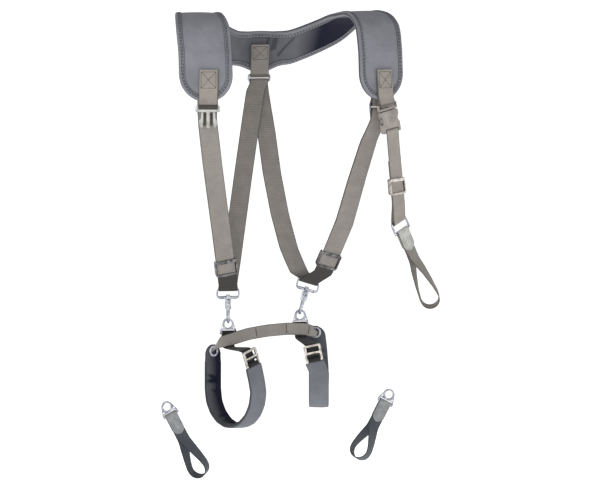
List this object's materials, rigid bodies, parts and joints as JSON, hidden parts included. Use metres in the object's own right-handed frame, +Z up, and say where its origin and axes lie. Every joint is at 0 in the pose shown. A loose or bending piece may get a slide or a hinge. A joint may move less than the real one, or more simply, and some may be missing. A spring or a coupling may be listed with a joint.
{
  "type": "padded shoulder harness",
  "caption": "Padded shoulder harness of webbing straps with snap hooks that carry a padded sling, a side strap with a release buckle, and loose loop connectors.",
  "frame": {"origin": "where the pad rests on the shoulders, midway between its two shoulder bridges", "axes": "+X towards the wearer's left, +Y from the chest to the back, +Z up"},
  "size_m": [0.3586, 0.1996, 0.6057],
  "materials": {
    "neoprene": "matt slate-grey knit-faced neoprene",
    "binding": "knit edge binding",
    "webbing": "warm grey nylon webbing",
    "dark_webbing": "charcoal nylon webbing",
    "black_webbing": "black nylon webbing",
    "chrome": "bright nickel plate",
    "spring_steel": "spring strip",
    "dark_slider": "dark gunmetal coating",
    "bright_slider": "satin metal",
    "pale_plastic": "pale translucent acetal",
    "tan_plastic": "warm grey acetal",
    "leather": "light grey grained leather"
  },
  "bodies": {
    "harness": {"left_yoke_pad": "neoprene", "right_yoke_pad": "neoprene", "left_yoke_binding": "binding", "right_yoke_binding": "binding", "left_buckle_tab": "webbing", "right_buckle_tab": "webbing", "left_ring_tab": "webbing", "right_ring_tab": "webbing", "left_front_ring": "chrome", "right_front_ring": "chrome", "back_tab": "webbing", "back_ring": "chrome", "left_main_strap": "webbing", "right_main_strap": "webbing", "left_hook_eye": "chrome", "right_hook_eye": "chrome"},
    "left_slider": {"left_slider": "dark_slider"},
    "right_slider": {"right_slider": "dark_slider"},
    "left_hook": {"left_hook_body": "chrome", "left_hook_pin": "chrome", "left_hook_spring": "spring_steel"},
    "right_hook": {"right_hook_body": "chrome", "right_hook_pin": "chrome", "right_hook_spring": "spring_steel"},
    "left_gate": {"left_hook_gate": "chrome"},
    "right_gate": {"right_hook_gate": "chrome"},
    "sling": {"left_sling_ring": "chrome", "right_sling_ring": "chrome", "left_adjust_strap": "black_webbing", "right_adjust_strap": "black_webbing", "left_sling_slider": "bright_slider", "right_sling_slider": "bright_slider", "left_sling_core": "black_webbing", "right_sling_core": "black_webbing", "left_sling_band": "neoprene", "right_sling_band": "neoprene", "left_eyelet": "chrome", "right_eyelet": "chrome", "crossbar_strap": "webbing"},
    "left_buckle": {"left_buckle_male": "pale_plastic"},
    "accessory": {"right_buckle_male": "tan_plastic", "right_buckle_female": "tan_plastic", "accessory_strap": "webbing"},
    "accessory_slider": {"accessory_slider": "bright_slider"},
    "accessory_ring": {"accessory_ring": "chrome"},
    "accessory_connector": {"accessory_tab": "leather", "accessory_loop": "webbing"},
    "left_buckle_left_prong": {"left_buckle_left_prong": "pale_plastic"},
    "left_buckle_right_prong": {"left_buckle_right_prong": "pale_plastic"},
    "left_connector_ring": {"left_connector_ring": "chrome"},
    "left_connector": {"left_connector_tab": "leather", "left_connector_loop": "dark_webbing"},
    "right_buckle_left_prong": {"right_buckle_left_prong": "tan_plastic"},
    "right_buckle_right_prong": {"right_buckle_right_prong": "tan_plastic"},
    "right_connector_ring": {"right_connector_ring": "chrome"},
    "right_connector": {"right_connector_tab": "leather", "right_connector_loop": "dark_webbing"}
  },
  "joints": [
    {"name": "left_slider_slide", "type": "slide", "parent": "harness", "child": "left_slider", "axis": [-0.197, -0.2883, 0.937], "range_m": [-0.006, 0.042]},
    {"name": "right_slider_slide", "type": "slide", "parent": "harness", "child": "right_slider", "axis": [0.2927, -0.3459, 0.8914], "range_m": [-0.008, 0.034]},
    {"name": "left_hook_swivel", "type": "hinge", "parent": "harness", "child": "left_hook", "pos_m": [-0.065, 0.008, -0.39375], "axis": [0, 0, 1], "range_deg": [-15, 15]},
    {"name": "left_gate_hinge", "type": "hinge", "parent": "left_hook", "child": "left_gate", "pos_m": [-0.065, 0.0122, -0.37775], "axis": [-1, 0, 0], "range_deg": [0, 20], "stiffness_Nm_per_rad": 0.02, "springref_deg": -20.05},
    {"name": "right_hook_swivel", "type": "hinge", "parent": "harness", "child": "right_hook", "pos_m": [0.032, 0.008, -0.38375], "axis": [0.2924, 0, 0.9563], "range_deg": [-15, 15]},
    {"name": "right_gate_hinge", "type": "hinge", "parent": "right_hook", "child": "right_gate", "pos_m": [0.03668, 0.0122, -0.36845], "axis": [-0.9563, 0, 0.2924], "range_deg": [0, 20], "stiffness_Nm_per_rad": 0.02, "springref_deg": -20.05},
    {"name": "sling_swing", "type": "hinge", "parent": "harness", "child": "sling", "pos_m": [-0.065, 0.008, -0.39375], "axis": [0.9947, 0, 0.1025], "range_deg": [-35, 35]},
    {"name": "left_buckle_swing", "type": "hinge", "parent": "harness", "child": "left_buckle", "pos_m": [-0.11669, -0.08924, -0.113], "axis": [-0.9272, 0.3746, 0], "range_deg": [0, 60]},
    {"name": "accessory_swing", "type": "hinge", "parent": "harness", "child": "accessory", "pos_m": [0.12225, -0.087, -0.113], "axis": [-0.9069, -0.3664, -0.2079], "range_deg": [0, 50]},
    {"name": "left_buckle_left_prong_flex", "type": "hinge", "parent": "left_buckle", "child": "left_buckle_left_prong", "pos_m": [-0.12374, -0.0864, -0.121], "axis": [-0.3746, -0.9272, 0], "range_deg": [0, 7], "stiffness_Nm_per_rad": 0.02},
    {"name": "left_buckle_right_prong_flex", "type": "hinge", "parent": "left_buckle", "child": "left_buckle_right_prong", "pos_m": [-0.10964, -0.09209, -0.121], "axis": [0.3746, 0.9272, 0], "range_deg": [0, 7], "stiffness_Nm_per_rad": 0.02},
    {"name": "right_buckle_left_prong_flex", "type": "hinge", "parent": "accessory", "child": "right_buckle_left_prong", "pos_m": [0.1169, -0.08916, -0.1224], "axis": [0.3746, -0.9272, 0], "range_deg": [0, 7], "stiffness_Nm_per_rad": 0.02},
    {"name": "right_buckle_right_prong_flex", "type": "hinge", "parent": "accessory", "child": "right_buckle_right_prong", "pos_m": [0.13069, -0.08359, -0.11925], "axis": [-0.3746, 0.9272, 0], "range_deg": [0, 7], "stiffness_Nm_per_rad": 0.02},
    {"name": "accessory_slider_slide", "type": "slide", "parent": "accessory", "child": "accessory_slider", "axis": [-0.1037, -0.0419, 0.9937], "range_m": [-0.01, 0.018]},
    {"name": "accessory_ring_swing", "type": "hinge", "parent": "accessory", "child": "accessory_ring", "pos_m": [0.13987, -0.07988, -0.26414], "axis": [-0.8261, -0.3338, -0.454], "range_deg": [-25, 25]},
    {"name": "accessory_connector_swing", "type": "hinge", "parent": "accessory_ring", "child": "accessory_connector", "pos_m": [0.14636, -0.07726, -0.27786], "axis": [-0.8261, -0.3338, -0.454], "range_deg": [-40, 40]},
    {"name": "left_connector_lift", "type": "slide", "parent": "harness", "child": "left_connector_ring", "axis": [0, 0, 1], "range_m": [0, 0.08]},
    {"name": "left_connector_fold", "type": "hinge", "parent": "left_connector_ring", "child": "left_connector", "pos_m": [-0.14341, 0, -0.51651], "axis": [0.8829, 0, 0.4695], "range_deg": [-40, 40]},
    {"name": "right_connector_lift", "type": "slide", "parent": "harness", "child": "right_connector_ring", "axis": [0, 0, 1], "range_m": [0, 0.08]},
    {"name": "right_connector_fold", "type": "hinge", "parent": "right_connector_ring", "child": "right_connector", "pos_m": [0.14391, 0, -0.50551], "axis": [0.8829, 0, -0.4695], "range_deg": [-40, 40]}
  ]
}
